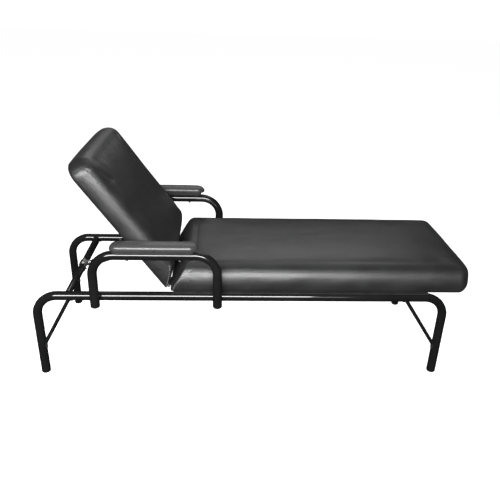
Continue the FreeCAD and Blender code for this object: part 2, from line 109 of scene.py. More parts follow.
def makeStage(setup):
    world = bpy.data.worlds.new("studioRoom")
    world.use_nodes = True
    tree = world.node_tree
    tree.nodes.clear()
    seen = addNode(tree, "ShaderNodeLightPath")
    way = addNode(tree, "ShaderNodeTexCoord")
    height = addNode(tree, "ShaderNodeSeparateXYZ", {0: way.outputs["Generated"]})
    soft = addNode(tree, "ShaderNodeMapRange", {
        "Value": height.outputs["Z"], "From Min": -0.5, "From Max": 0.6,
        "To Min": setup["groundGlow"], "To Max": setup["skyGlow"],
    })
    mirrored = addNode(tree, "ShaderNodeMapRange", {
        "Value": seen.outputs["Is Glossy Ray"], "To Min": 1.0, "To Max": setup["mirrorShare"],
    })
    glow = addNode(tree, "ShaderNodeMath", {
        0: soft.outputs[0], 1: mirrored.outputs[0],
    }, operation="MULTIPLY")
    room = addNode(tree, "ShaderNodeBackground", {
        "Color": setup["roomColour"], "Strength": glow.outputs[0],
    })
    backdrop = addNode(tree, "ShaderNodeBackground", {
        "Color": setup["roomColour"], "Strength": setup["backdropGlow"],
    })
    mix = addNode(tree, "ShaderNodeMixShader", {
        0: seen.outputs["Is Camera Ray"], 1: room.outputs[0], 2: backdrop.outputs[0],
    })
    addNode(tree, "ShaderNodeOutputWorld", {"Surface": mix.outputs[0]})
    bpy.context.scene.world = world

    half = setup["floorSize"] / 2
    mesh = bpy.data.meshes.new("studioFloor")
    corners = [(-half, -half, 0), (half, -half, 0), (half, half, 0), (-half, half, 0)]
    mesh.from_pydata(corners, [], [(0, 1, 2, 3)])
    floor = bpy.data.objects.new("studioFloor", mesh)
    bpy.context.scene.collection.objects.link(floor)
    floorPaint = bpy.data.materials.new("paleFloor")
    floorPaint.use_nodes = True
    shader = floorPaint.node_tree.nodes["Principled BSDF"]
    shader.inputs["Base Color"].default_value = setup["floorColour"]
    shader.inputs["Roughness"].default_value = 0.9
    shader.inputs["Specular IOR Level"].default_value = 0.1
    shader.inputs["Emission Color"].default_value = (1, 1, 1, 1)
    shader.inputs["Emission Strength"].default_value = setup["floorGlow"]
    mesh.materials.append(floorPaint)
    floor.visible_glossy = False
    floor.visible_diffuse = False


def makeLight(name, setup):
    data = bpy.data.lights.new(name, "AREA")
    data.shape = "RECTANGLE"
    data.size, data.size_y = setup["size"]
    data.energy = setup["power"]
    light = bpy.data.objects.new(name, data)
    place = Vector(setup["from"])
    aim = (Vector(setup["to"]) - place).to_track_quat("-Z", "Y")
    light.matrix_world = Matrix.Translation(place) @ aim.to_matrix().to_4x4()
    bpy.context.scene.collection.objects.link(light)


makeCamera(cameraSetup)
makeStage(stageSetup)
for lightName, lightValues in lightSetup.items():
    makeLight(lightName + "Light", lightValues)
bpy.context.scene.view_settings.view_transform = "Standard"
print("camera, floor and lights are in place")


# Materials: one function per kind of finish, then one look per finish.
def startMaterial(name, fixed):
    material = bpy.data.materials.new(name)
    material.use_nodes = True
    tree = material.node_tree
    shader = tree.nodes["Principled BSDF"]
    for socket, value in fixed.items():
        shader.inputs[socket].default_value = value
    place = addNode(tree, "ShaderNodeTexCoord").outputs["Object"]
    return material, tree, shader, place


def spread(tree, value, low, high, fromLow=0.3, fromHigh=0.7):
    node = addNode(tree, "ShaderNodeMapRange", {
        "Value": value, "From Min": fromLow, "From Max": fromHigh, "To Min": low, "To Max": high,
    })
    return node.outputs["Result"]


def tint(tree, value, dark, light, fromLow=0.3, fromHigh=0.7):
    ramp = addNode(tree, "ShaderNodeValToRGB", {"Fac": value})
    ramp.color_ramp.elements[0].position = fromLow
    ramp.color_ramp.elements[0].color = (*dark, 1)
    ramp.color_ramp.elements[1].position = fromHigh
    ramp.color_ramp.elements[1].color = (*light, 1)
    return ramp.outputs["Color"]


def mixColours(tree, share, first, second, blend="MIX"):
    node = addNode(tree, "ShaderNodeMix", {
        0: share, 6: first, 7: second,
    }, data_type="RGBA", blend_type=blend)
    return node.outputs[2]


def noiseField(tree, place, scale, detail=3.0, roughness=0.5, stretch=None):
    if stretch:
        place = addNode(tree, "ShaderNodeMapping", {"Vector": place, "Scale": stretch}).outputs["Vector"]
    node = addNode(tree, "ShaderNodeTexNoise", {
        "Vector": place, "Scale": scale, "Detail": detail, "Roughness": roughness,
    })
    return node.outputs["Fac"]


def bumps(tree, heights):
    normal = None
    for height, strength, distance in heights:
        values = {"Height": height, "Strength": strength, "Distance": distance}
        if normal:
            values["Normal"] = normal
        normal = addNode(tree, "ShaderNodeBump", values).outputs["Normal"]
    return normal


def vinyl(name, look):
    material, tree, shader, place = startMaterial(name, {
        "Specular IOR Level": look["gloss"],
        "Coat Weight": look["coat"],
        "Coat Roughness": look["coatRoughness"],
        "Sheen Weight": look["sheen"],
        "Sheen Roughness": 0.5,
    })
    patches = noiseField(tree, place, look["patchScale"], 4.0, 0.55)
    streaks = noiseField(tree, place, look["streakScale"], 3.0, 0.6, look["streakStretch"])
    both = addNode(tree, "ShaderNodeMath", {0: patches, 1: streaks}, operation="ADD")
    half = addNode(tree, "ShaderNodeMath", {0: both.outputs[0], 1: 0.5}, operation="MULTIPLY")
    colour = tint(tree, half.outputs[0], look["dark"], look["light"], 0.36, 0.64)
    tree.links.new(colour, shader.inputs["Base Color"])
    grain = addNode(tree, "ShaderNodeTexVoronoi", {
        "Vector": place, "Scale": look["grainScale"],
    }, feature="DISTANCE_TO_EDGE")
    pebble = addNode(tree, "ShaderNodeMapRange", {
        "Value": grain.outputs["Distance"], "From Min": 0.0, "From Max": 0.22, "To Min": 0.0, "To Max": 1.0,
    }, interpolation_type="SMOOTHSTEP")
    fine = noiseField(tree, place, look["grainScale"] * 2.3, 2.0)
    tree.links.new(spread(tree, patches, *look["roughness"]), shader.inputs["Roughness"])
    tree.links.new(bumps(tree, [
        (streaks, look["foldStrength"], 0.004),
        (pebble.outputs["Result"], look["grainStrength"], 0.0003),
        (fine, look["grainStrength"] * 0.6, 0.0002),
    ]), shader.inputs["Normal"])
    return material


def enamel(name, look):
    material, tree, shader, place = startMaterial(name, {
        "Specular IOR Level": look["gloss"], "Coat Weight": look["coat"], "Coat Roughness": 0.05,
    })
    cloud = noiseField(tree, place, 7.0, 4.0)
    peel = noiseField(tree, place, look["peelScale"], 2.0)
    scuff = noiseField(tree, place, 60.0, 6.0, 0.7)
    worn = spread(tree, scuff, 0.0, 1.0, 0.66, 0.74)
    paint = tint(tree, cloud, look["dark"], look["light"])
    tree.links.new(mixColours(tree, worn, paint, (*look["scuffColour"], 1)), shader.inputs["Base Color"])
    tree.links.new(spread(tree, cloud, *look["roughness"]), shader.inputs["Roughness"])
    tree.links.new(bumps(tree, [(peel, look["peelStrength"], 0.0004)]), shader.inputs["Normal"])
    return material


def metal(name, look):
    material, tree, shader, place = startMaterial(name, {"Metallic": look["metallic"]})
    flakes = addNode(tree, "ShaderNodeTexVoronoi", {"Vector": place, "Scale": look["flakeScale"]})
    cloud = noiseField(tree, place, 45.0, 5.0, 0.6)
    brushed = noiseField(tree, place, 90.0, 3.0, 0.6, look["brushStretch"])
    mix = addNode(tree, "ShaderNodeMath", {0: flakes.outputs["Distance"], 1: cloud}, operation="MULTIPLY")
    colour = tint(tree, mix.outputs[0], look["dark"], look["light"], 0.05, 0.4)
    tree.links.new(colour, shader.inputs["Base Color"])
    tree.links.new(spread(tree, cloud, *look["roughness"]), shader.inputs["Roughness"])
    tree.links.new(bumps(tree, [(brushed, 0.25, 0.0002)]), shader.inputs["Normal"])
    return material


def moulded(name, look):
    material, tree, shader, place = startMaterial(name, {"Specular IOR Level": look["gloss"]})
    cloud = noiseField(tree, place, 30.0, 4.0)
    fine = noiseField(tree, place, look["grainScale"], 2.0)
    tree.links.new(tint(tree, cloud, look["dark"], look["light"]), shader.inputs["Base Color"])
    tree.links.new(spread(tree, cloud, *look["roughness"]), shader.inputs["Roughness"])
    tree.links.new(bumps(tree, [(fine, look["grainStrength"], 0.0003)]), shader.inputs["Normal"])
    return material


def plywood(name, look):
    material, tree, shader, place = startMaterial(name, {"Specular IOR Level": 0.3})
    mapping = addNode(tree, "ShaderNodeMapping", {"Vector": place, "Rotation": (0, look["lean"], 0)})
    turned = mapping.outputs["Vector"]
    figure = noiseField(tree, turned, 1.0, 5.0, 0.6, (4.0, 70.0, 25.0))
    rings = addNode(tree, "ShaderNodeTexWave", {
        "Vector": turned, "Scale": 9.0, "Distortion": 7.0, "Detail": 3.0, "Detail Scale": 1.4,
    }, bands_direction="Y")
    plies = addNode(tree, "ShaderNodeTexWave", {
        "Vector": turned, "Scale": look["plyScale"], "Distortion": 0.15, "Detail": 1.0,
    }, bands_direction="Z")
    wood = tint(tree, figure, look["dark"], look["light"], 0.25, 0.75)
    ringTint = tint(tree, rings.outputs["Fac"], (0.78, 0.74, 0.70), (1, 1, 1), 0.0, 0.7)
    plyTint = tint(tree, plies.outputs["Fac"], (0.72, 0.66, 0.6), (1, 1, 1), 0.2, 0.6)
    ringed = mixColours(tree, 1.0, wood, ringTint, "MULTIPLY")
    tree.links.new(mixColours(tree, 0.6, ringed, plyTint, "MULTIPLY"), shader.inputs["Base Color"])
    tree.links.new(spread(tree, figure, 0.55, 0.75), shader.inputs["Roughness"])
    tree.links.new(bumps(tree, [(figure, 0.3, 0.0005)]), shader.inputs["Normal"])
    return material


couchVinylLook = {
    "dark": (0.009, 0.009, 0.0094), "light": (0.016, 0.016, 0.0164),
    "gloss": 0.5, "coat": 0.12, "coatRoughness": 0.26, "sheen": 0.015,
    "patchScale": 11.0, "streakScale": 6.0, "streakStretch": (0.5, 2.6, 2.0),
    "grainScale": 620.0, "grainStrength": 0.35, "foldStrength": 0.25,
    "roughness": (0.32, 0.40),
}
armVinylLook = dict(
    couchVinylLook, dark=(0.030, 0.030, 0.0305), light=(0.044, 0.044, 0.0445), foldStrength=0.1,
    roughness=(0.26, 0.32),
)
enamelLook = {
    "dark": (0.006, 0.006, 0.0063), "light": (0.009, 0.009, 0.0094), "scuffColour": (0.02, 0.02, 0.02),
    "gloss": 0.50, "coat": 0.0, "peelScale": 240.0, "peelStrength": 0.02, "roughness": (0.06, 0.10),
}
zincLook = {
    "dark": (0.26, 0.26, 0.255), "light": (0.44, 0.44, 0.43), "metallic": 1.0,
    "flakeScale": 160.0, "brushStretch": (6.0, 1.0, 6.0), "roughness": (0.24, 0.40),
}
springLook = dict(zincLook, dark=(0.20, 0.21, 0.24), light=(0.36, 0.37, 0.40), roughness=(0.2, 0.34))
plasticLook = {
    "dark": (0.010, 0.010, 0.011), "light": (0.017, 0.017, 0.018), "gloss": 0.4,
    "grainScale": 900.0, "grainStrength": 0.3, "roughness": (0.34, 0.5),
}
rubberLook = dict(
    plasticLook, dark=(0.014, 0.014, 0.014), light=(0.024, 0.024, 0.023), gloss=0.25,
    roughness=(0.6, 0.8),
)
threadLook = dict(rubberLook, dark=(0.24, 0.24, 0.24), light=(0.36, 0.36, 0.36), grainScale=900.0)
boardLook = {"dark": (0.30, 0.19, 0.095), "light": (0.56, 0.40, 0.23), "plyScale": 200.0, "lean": 0.0}
backLean = math.radians(tilt["range_deg"][0])

finishes = {
    "black_enamel": enamel("blackEnamel", enamelLook),
    "couch_vinyl": vinyl("couchVinyl", couchVinylLook),
    "arm_vinyl": vinyl("armVinyl", armVinylLook),
    "plywood": plywood("birchPlywood", boardLook),
    "black_board": moulded("blackBoard", dict(rubberLook, grainScale=300.0)),
    "black_plastic": moulded("blackPlastic", plasticLook),
    "rubber": moulded("blackRubber", rubberLook),
    "spring_steel": metal("springSteel", springLook),
    "zinc": metal("zincPlate", zincLook),
}
threadPaint = moulded("sewingThread", threadLook)
leaningPlywood = plywood("leaningPlywood", dict(boardLook, lean=backLean))

slotOf = {part["node"]: part["material_slot"] for part in frame["record"]["subparts"]}
for nodeName, cadPiece in frame["nodes"].items():
    cadPiece.data.materials.clear()
    finish = finishes.get(slotOf[nodeName], finishes["couch_vinyl"])
    if nodeName == "back_board":
        finish = leaningPlywood
    cadPiece.data.materials.append(finish)
print("finishes are on the carried-over parts")


# Mesh helpers.
def makePiece(name, mesh, material, body, smoothAngle=40):
    piece = bpy.data.objects.new(name, mesh)
    bpy.context.scene.collection.objects.link(piece)
    mesh.materials.clear()
    mesh.materials.append(material)
    mesh.polygons.foreach_set("use_smooth", [True] * len(mesh.polygons))
    mesh.set_sharp_from_angle(angle=math.radians(smoothAngle))
    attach(piece, body)
    return piece


def meshFrom(name, bm):
    bmesh.ops.recalc_face_normals(bm, faces=bm.faces)
    mesh = bpy.data.meshes.new(name)
    bm.to_mesh(mesh)
    bm.free()
    return mesh


def ringsToMesh(name, rings):
    # Rings of equal length joined in order, with both ends closed.
    bm = bmesh.new()
    loops = [[bm.verts.new(spot) for spot in ring] for ring in rings]
    for near, far in zip(loops, loops[1:]):
        for here in range(len(near)):
            after = (here + 1) % len(near)
            bm.faces.new((near[here], near[after], far[after], far[here]))
    bm.faces.new(loops[0])
    bm.faces.new(loops[-1])
    return meshFrom(name, bm)


# Bent tubes of the side frames and armrests.
tubeShape = {
    "radius": 0.019,
    "bend": 0.087,
    "flattening": 0.10,  # share of the radius lost on the outside of a bend
    "widening": 0.01,
    "bendSteps": 30,
    "sides": 40,
    "endRounding": 0.0012,
}


def tubeStations(corners, bend, steps):
    # Place, direction and share of flattening along straight runs joined by arcs.
    stations = [(corners[0], (corners[1] - corners[0]).normalized(), 0.0)]
    for before, corner, after in zip(corners, corners[1:], corners[2:]):
        into = (corner - before).normalized()
        out = (after - corner).normalized()
        setback = bend * math.tan(into.angle(out) / 2)
        start = corner - into * setback
        centre = start + (out - into * into.dot(out)).normalized() * bend
        turn = into.angle(out)
        axis = into.cross(out).normalized()
        for step in range(steps + 1):
            share = step / steps
            spin = Matrix.Rotation(turn * share, 3, axis)
            ease = min(share, 1 - share) / 0.36
            ease = 1.0 if ease >= 1 else ease * ease * (3 - 2 * ease)
            stations.append((centre + spin @ (start - centre), spin @ into, ease))
    stations.append((corners[-1], (corners[-1] - corners[-2]).normalized(), 0.0))
    return stations


def bentTube(name, corners, shape, standsFor):
    rings = []
    across = Vector((0, 1, 0))
    stations = tubeStations(corners, shape["bend"], shape["bendSteps"])
    small = shape["endRounding"]
    first, last = stations[0], stations[-1]
    stations = [(*first, shape["radius"] - small)] + \
        [(first[0] + first[1] * small, first[1], 0.0, shape["radius"])] + \
        [(*station, shape["radius"]) for station in stations[1:-1]] + \
        [(last[0] - last[1] * small, last[1], 0.0, shape["radius"])] + \
        [(*last, shape["radius"] - small)]
    for place, direction, ease, radius in stations:
        outward = Vector((-direction.z, 0, direction.x))
        ring = []
        for side in range(shape["sides"]):
            angle = 2 * math.pi * side / shape["sides"]
            reach = math.cos(angle) * radius
            if reach > 0:
                reach *= 1 - shape["flattening"] * ease
            width = math.sin(angle) * radius * (1 + shape["widening"] * ease)
            ring.append(place + outward * reach + across * width)
        rings.append(ring)
    piece = makePiece(name, ringsToMesh(name, rings), finishes["black_enamel"], "frame")
    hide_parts(standsFor)
    return piece


sides = {"right": -1, "left": 1}
for sideName, way in sides.items():
    frameLow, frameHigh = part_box("side_frame_" + sideName)
    railY = (frameLow.y + frameHigh.y) / 2
    inset = tubeShape["radius"]
    bentTube("sideTube_" + sideName, [
        Vector((frameLow.x + inset, railY, frameLow.z)),
        Vector((frameLow.x + inset, railY, frameHigh.z - inset)),
        Vector((frameHigh.x - inset, railY, frameHigh.z - inset)),
        Vector((frameHigh.x - inset, railY, frameLow.z)),
    ], tubeShape, "side_frame_" + sideName)
    armLow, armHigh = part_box("armrest_tube_" + sideName)
    armY = (armLow.y + armHigh.y) / 2
    bentTube("armTube_" + sideName, [
        Vector((armLow.x + inset, armY, armLow.z)),
        Vector((armLow.x + inset, armY, armHigh.z - inset)),
        Vector((armHigh.x - inset, armY, armHigh.z - inset)),
        Vector((armHigh.x - inset, armY, armLow.z)),
    ], tubeShape, "armrest_tube_" + sideName)
print("side frames and armrest tubes are bent")


# Geometry Nodes helpers.
def startTree(name, inputs):
    tree = bpy.data.node_groups.new(name, "GeometryNodeTree")
    tree.interface.new_socket("Geometry", in_out="INPUT", socket_type="NodeSocketGeometry")
    for label, kind in inputs.items():
        tree.interface.new_socket(label, in_out="INPUT", socket_type="NodeSocket" + kind)
    tree.interface.new_socket("Geometry", in_out="OUTPUT", socket_type="NodeSocketGeometry")
    return tree, tree.nodes.new("NodeGroupInput"), tree.nodes.new("NodeGroupOutput")


def closeTree(tree, entry, leave, instances):
    real = addNode(tree, "GeometryNodeRealizeInstances", {"Geometry": instances})
    painted = addNode(tree, "GeometryNodeSetMaterial", {
        "Geometry": real.outputs[0], "Material": entry.outputs["Material"],
    })
    tree.links.new(painted.outputs[0], leave.inputs[0])


def growMesh(name, source, tree, values):
    # Runs the tree on a mesh or curve and hands back the plain mesh it makes.
    carrier = bpy.data.objects.new(name + "Carrier", source)
    bpy.context.scene.collection.objects.link(carrier)
    modifier = carrier.modifiers.new("grow", "NODES")
    modifier.node_group = tree
    for item in tree.interface.items_tree:
        if item.in_out == "INPUT" and item.name in values:
            modifier[item.identifier] = values[item.name]
    graph = bpy.context.evaluated_depsgraph_get()
    mesh = bpy.data.meshes.new_from_object(carrier.evaluated_get(graph), depsgraph=graph)
    mesh.name = name
    bpy.data.objects.remove(carrier)
    return mesh


def pathMesh(name, loops, closed):
    # Edge loops as a mesh, one per path.
    bm = bmesh.new()
    for loop in loops:
        spots = [bm.verts.new(spot) for spot in loop]
        for here, after in zip(spots, spots[1:]):
            bm.edges.new((here, after))
        if closed:
            bm.edges.new((spots[-1], spots[0]))
    mesh = bpy.data.meshes.new(name)
    bm.to_mesh(mesh)
    bm.free()
    return mesh


# Weld beads round the tube joints.
weldShape = {
    "Bead Pitch": 0.0026,
    "Bead Radius": 0.0029,
    "Bead Height": 0.62,
    "Seed": 4,
}


def weldTree():
    tree, entry, leave = startTree("weldBeads", {
        "Bead Pitch": "Float", "Bead Radius": "Float", "Bead Height": "Float", "Seed": "Int",
        "Material": "Material",
    })
    curve = addNode(tree, "GeometryNodeMeshToCurve", {"Mesh": entry.outputs["Geometry"]})
    even = addNode(tree, "GeometryNodeResampleCurve", {
        "Curve": curve.outputs[0], "Length": entry.outputs["Bead Pitch"],
    }, mode="LENGTH")
    tangent = tree.nodes.new("GeometryNodeInputTangent")
    turned = addNode(tree, "FunctionNodeAlignRotationToVector", {"Vector": tangent.outputs[0]}, axis="Z")
    bead = addNode(tree, "GeometryNodeMeshUVSphere", {
        "Segments": 10, "Rings": 6, "Radius": entry.outputs["Bead Radius"],
    })
    jitter = addNode(tree, "FunctionNodeRandomValue", {
        "Min": 0.82, "Max": 1.14, "Seed": entry.outputs["Seed"],
    }, data_type="FLOAT")
    jitter.inputs[2].default_value, jitter.inputs[3].default_value = 0.84, 1.14
    size = addNode(tree, "ShaderNodeCombineXYZ", {
        "X": jitter.outputs[1], "Y": jitter.outputs[1], "Z": entry.outputs["Bead Height"],
    })
    laid = addNode(tree, "GeometryNodeInstanceOnPoints", {
        "Points": even.outputs[0], "Instance": bead.outputs["Mesh"],
        "Rotation": turned.outputs[0], "Scale": size.outputs[0],
    })
    closeTree(tree, entry, leave, laid.outputs[0])
    return tree


def weldRing(start, direction, radius, otherPlace, otherDirection, otherRadius, steps=48):
    # Where a small tube's skin meets a larger tube's.
    direction = direction.normalized()
    first = direction.orthogonal().normalized()
    second = direction.cross(first)
    spots = []
    for step in range(steps):
        angle = 2 * math.pi * step / steps
        spot = start + radius * (first * math.cos(angle) + second * math.sin(angle))
        gap = spot - otherPlace
        gap -= otherDirection * gap.dot(otherDirection)
        run = direction - otherDirection * direction.dot(otherDirection)
        a, b, c = run.dot(run), 2 * gap.dot(run), gap.dot(gap) - otherRadius ** 2
        reach = (-b - math.sqrt(max(b * b - 4 * a * c, 0))) / (2 * a)
        spots.append(spot + direction * reach)
    return spots


def weldPaths():
    loops = []
    alongX, alongY, alongZ = Vector((1, 0, 0)), Vector((0, 1, 0)), Vector((0, 0, 1))
    big = tubeShape["radius"]
    for sideName in sides:
        low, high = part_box("side_frame_" + sideName)
        y = (low.y + high.y) / 2
        railPlace = Vector((0, y, high.z - big))
        for end in ("head", "middle", "foot"):
            crossLow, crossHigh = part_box(end + "_cross_tube")
            middle = (crossLow + crossHigh) / 2
            outward = alongY * (1 if y > 0 else -1)
            small = (crossHigh.z - crossLow.z) / 2
            loops.append(weldRing(middle, outward, small, railPlace, alongX, big))
        for end in ("head", "foot"):
            braceLow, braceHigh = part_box("brace_" + end + "_" + sideName)
            small = (braceHigh.y - braceLow.y) / 2
            outerX = low.x + big if end == "head" else high.x - big
            lean = braceLean[end]
            middle = Vector(((braceLow.x + braceHigh.x) / 2, y, (braceLow.z + braceHigh.z) / 2))
            upward = Vector((lean[0], 0, lean[1])).normalized()
            loops.append(weldRing(middle, upward, small, railPlace, alongX, big))
            loops.append(weldRing(middle, -upward, small, Vector((outerX, y, 0)), alongZ, big))
    return loops


braceLean = {"head": (0.144, 0.2575), "foot": (-0.175, 0.2575)}
weldMesh = growMesh("weldBeads", pathMesh("weldPaths", weldPaths(), True), weldTree(), dict(
    weldShape, Material=finishes["black_enamel"],
))
makePiece("weldBeads", weldMesh, finishes["black_enamel"], "frame", 60)
print("weld beads are laid")


# Upholstery: cushions, folds, stitches, boards, hems and staples.
def evenSteps(total, startZone, endZone, cell, startParts, endParts):
    # Shares from 0 to 1, finer in the two end zones.
    shares = [startZone * part / startParts for part in range(startParts)]
    middle = total - startZone - endZone
    parts = max(2, round(middle / cell))
    shares += [startZone + middle * part / parts for part in range(parts)]
    shares += [total - endZone + endZone * part / endParts for part in range(endParts + 1)]
    return [share / total for share in shares]


def quarter(edge, distance):
    # How far an elliptic edge, given as its depth and height, stands back at this distance from its face.
    depth, height = edge
    if distance >= height:
        return 0.0
    return depth * (1 - math.sqrt(max(1 - (1 - distance / height) ** 2, 0)))


def cushionLevels(shape, low, high):
    levels = {low, high}
    for edge in (shape["lowSide"], shape["lowHead"], shape["lowFoot"]):
        for part in range(1, 6):
            levels.add(low + edge[1] * (1 - math.cos(math.pi / 2 * part / 5)))
    for edge in (shape["topSide"], shape["topHead"], shape["topFoot"]):
        for part in range(1, 8):
            levels.add(high - edge[1] * (1 - math.cos(math.pi / 2 * part / 7)))
    spaced = []
    for level in sorted(levels):
        if not spaced or level - spaced[-1] > shape["cell"] * 0.14:
            spaced.append(level)
    if high not in spaced:
        spaced[-1] = high
    filled = [spaced[0]]
    for level in spaced[1:]:
        parts = max(1, math.ceil((level - filled[-1]) / (shape["cell"] * 0.8)))
        start = filled[-1]
        filled += [start + (level - start) * part / parts for part in range(1, parts + 1)]
    return filled


def cushionMesh(name, shape, low, high):
    # A closed form on a box lattice: rounded plan corners, rounded edges and a leaning head or foot end.
    levels = cushionLevels(shape, low.z, high.z)
    xShares = evenSteps(high.x - low.x, shape["headCorner"], shape["footCorner"], shape["cell"], 5, 6)
    wide = max(shape["headCorner"], shape["footCorner"])
    yShares = evenSteps(high.y - low.y, wide, wide, shape["cell"], 6, 6)
    middleY, halfY = (low.y + high.y) / 2, (high.y - low.y) / 2

    def place(i, j, k):
        z = levels[k]
        rise = (z - low.z) / (high.z - low.z)
        side = quarter(shape["lowSide"], z - low.z) + quarter(shape["topSide"], high.z - z)
        head = quarter(shape["lowHead"], z - low.z) + quarter(shape["topHead"], high.z - z)
        foot = quarter(shape["lowFoot"], z - low.z) + quarter(shape["topFoot"], high.z - z)
        x0 = low.x + shape["headLean"] * rise + head
        x1 = high.x - shape["footLean"] * rise - foot
        half = halfY - side
        x = x0 + (x1 - x0) * xShares[i]
        y = (2 * yShares[j] - 1) * half
        for edge, inward, radius in (
            (x0, 1, shape["headCorner"] - head), (x1, -1, shape["footCorner"] - foot),
        ):
            radius = max(radius, 0.003)
            u = 1 - (x - edge) * inward / radius
            v = 1 - (half - abs(y)) / radius
            if u > 0 and v > 0:
                roundU = u * math.sqrt(1 - v * v / 2)
                roundV = v * math.sqrt(1 - u * u / 2)
                x = edge + inward * radius * (1 - roundU)
                y = math.copysign(half - radius * (1 - roundV), y)
        alongY = abs(2 * yShares[j] - 1)
        spanX = abs(2 * xShares[i] - 1)
        z += shape["crown"] * rise ** 2 * ((1 - spanX ** 6) * (1 - alongY ** 3)) ** 1.5
        bow = (1 - alongY ** 4) * (1 - 0.5 * rise)
        x += bow * (shape["footBow"] * xShares[i] ** 6 - shape["headBow"] * (1 - xShares[i]) ** 6)
        return Vector((x, middleY + y, z))

    bm = bmesh.new()
    lattice = {}
    top, right, back = len(levels) - 1, len(xShares) - 1, len(yShares) - 1

    def corner(i, j, k):
        if (i, j, k) not in lattice:
            lattice[i, j, k] = bm.verts.new(place(i, j, k))
        return lattice[i, j, k]

    for i in range(right):
        for j in range(back):
            for k in (0, top):
                bm.faces.new((
                    corner(i, j, k), corner(i + 1, j, k), corner(i + 1, j + 1, k), corner(i, j + 1, k),
                ))
    for k in range(top):
        for i in range(right):
            for j in (0, back):
                bm.faces.new((
                    corner(i, j, k), corner(i + 1, j, k), corner(i + 1, j, k + 1), corner(i, j, k + 1),
                ))
        for j in range(back):
            for i in (0, right):
                bm.faces.new((
                    corner(i, j, k), corner(i, j + 1, k), corner(i, j + 1, k + 1), corner(i, j, k + 1),
                ))
    return meshFrom(name, bm)


def inflate(mesh, shape, floorZ):
    # Lets the cover swell over its stuffing, held flat where it lies on its board.
    rest = [vertex.co.copy() for vertex in mesh.vertices]
    carrier = bpy.data.objects.new("inflating", mesh)
    bpy.context.scene.collection.objects.link(carrier)
    held = carrier.vertex_groups.new(name="held")
    for vertex in mesh.vertices:
        grip = 1 - (vertex.co.z - floorZ) / shape["gripHeight"]
        if grip > 0:
            held.add([vertex.index], min(1.0, grip * 1.4), "REPLACE")
    cloth = carrier.modifiers.new("swell", "CLOTH")
    cloth.settings.quality = 6
    cloth.settings.mass = 0.25
    cloth.settings.tension_stiffness = shape["tension"]
    cloth.settings.compression_stiffness = shape["tension"]
    cloth.settings.shear_stiffness = shape["tension"] * 0.4
    cloth.settings.bending_stiffness = 0.4
    cloth.settings.use_pressure = True
    cloth.settings.uniform_pressure_force = shape["pressure"]
    cloth.settings.effector_weights.gravity = 0
    cloth.settings.vertex_group_mass = "held"
    cloth.collision_settings.use_collision = False
    cloth.point_cache.frame_start = 1
    cloth.point_cache.frame_end = 20
    scene = bpy.context.scene
    for step in range(1, 21):
        scene.frame_set(step)
    graph = bpy.context.evaluated_depsgraph_get()
    swollen = carrier.evaluated_get(graph)
    moved = [vertex.co.copy() for vertex in swollen.data.vertices]
    carrier.modifiers.clear()
    scene.frame_set(1)
    normals = [vertex.normal.copy() for vertex in mesh.vertices]
    for vertex, start, end, normal in zip(mesh.vertices, rest, moved, normals):
        way = end - start
        way -= normal * min(0.0, way.dot(normal))  # the stuffing keeps the cover from sinking in
        if way.length > 1e-9:
            way *= shape["cap"] * math.tanh(way.length / shape["cap"]) / way.length
        vertex.co = start + way
        if start.z < floorZ + 0.0005:
            vertex.co.z = start.z
    bpy.data.objects.remove(carrier)


def refine(mesh, levels=1):
    carrier = bpy.data.objects.new("refining", mesh)
    bpy.context.scene.collection.objects.link(carrier)
    smooth = carrier.modifiers.new("smooth", "SUBSURF")
    smooth.levels = smooth.render_levels = levels
    graph = bpy.context.evaluated_depsgraph_get()
    finer = bpy.data.meshes.new_from_object(carrier.evaluated_get(graph), depsgraph=graph)
    finer.name = mesh.name
    bpy.data.objects.remove(carrier)
    return finer


def rumple(mesh, shape, floorZ):
    # Slack in the cover: long shallow waves, strongest over the padding.
    mesh.calc_loop_triangles()
    normals = [vertex.normal.copy() for vertex in mesh.vertices]
    for vertex, normal in zip(mesh.vertices, normals):
        lift = min(1.0, max(0.0, (vertex.co.z - floorZ) / 0.03))
        broad = noise.noise(vertex.co * shape["waveScale"] + Vector((3.1, 1.7, 0.4)))
        narrow = noise.noise(Vector((vertex.co.x * 9.0, vertex.co.y * 24.0, vertex.co.z * 24.0)))
        vertex.co += normal * lift * (shape["wave"] * broad + shape["ripple"] * narrow)


def gather(mesh, folds):
    # Folds that fan out from a pulled-in corner.
    normals = [vertex.normal.copy() for vertex in mesh.vertices]
    for vertex, normal in zip(mesh.vertices, normals):
        for fold in folds:
            offset = vertex.co - Vector(fold["centre"])
            distance = offset.length
            if distance > fold["reach"]:
                continue
            fade = (1 - distance / fold["reach"]) ** 2
            angle = math.atan2(offset.dot(Vector(fold["up"])), offset.dot(Vector(fold["side"])))
            vertex.co += normal * fade * fold["depth"] * math.sin(angle * fold["count"] + fold["phase"])
            vertex.co -= normal * fade * fold["pull"]


seatShape = {
    "cell": 0.012, "crown": 0.010, "insetX": 0.0, "insetY": 0.003, "lift": 0.0008,
    "headCorner": 0.014, "footCorner": 0.045, "headLean": 0.060, "footLean": 0.0,
    "headBow": 0.005, "footBow": 0.006,
    # each edge as how far it stands back and over what height
    "lowSide": (0.008, 0.018), "lowHead": (0.004, 0.006), "lowFoot": (0.034, 0.036),
    "topSide": (0.060, 0.084), "topHead": (0.030, 0.030), "topFoot": (0.034, 0.042),
    "gripHeight": 0.014, "pressure": 6.0, "tension": 15.0, "cap": 0.006,
    "waveScale": 7.0, "wave": 0.0012, "ripple": 0.0005,
}
backShape = dict(
    seatShape, crown=0.010, headCorner=0.060, footCorner=0.014, headLean=0.0, footLean=0.072,
    headBow=0.006, footBow=0.012, lowSide=(0.007, 0.022), lowHead=(0.014, 0.018), lowFoot=(0.003, 0.004),
    topSide=(0.046, 0.070), topHead=(0.044, 0.056), topFoot=(0.026, 0.024),
)
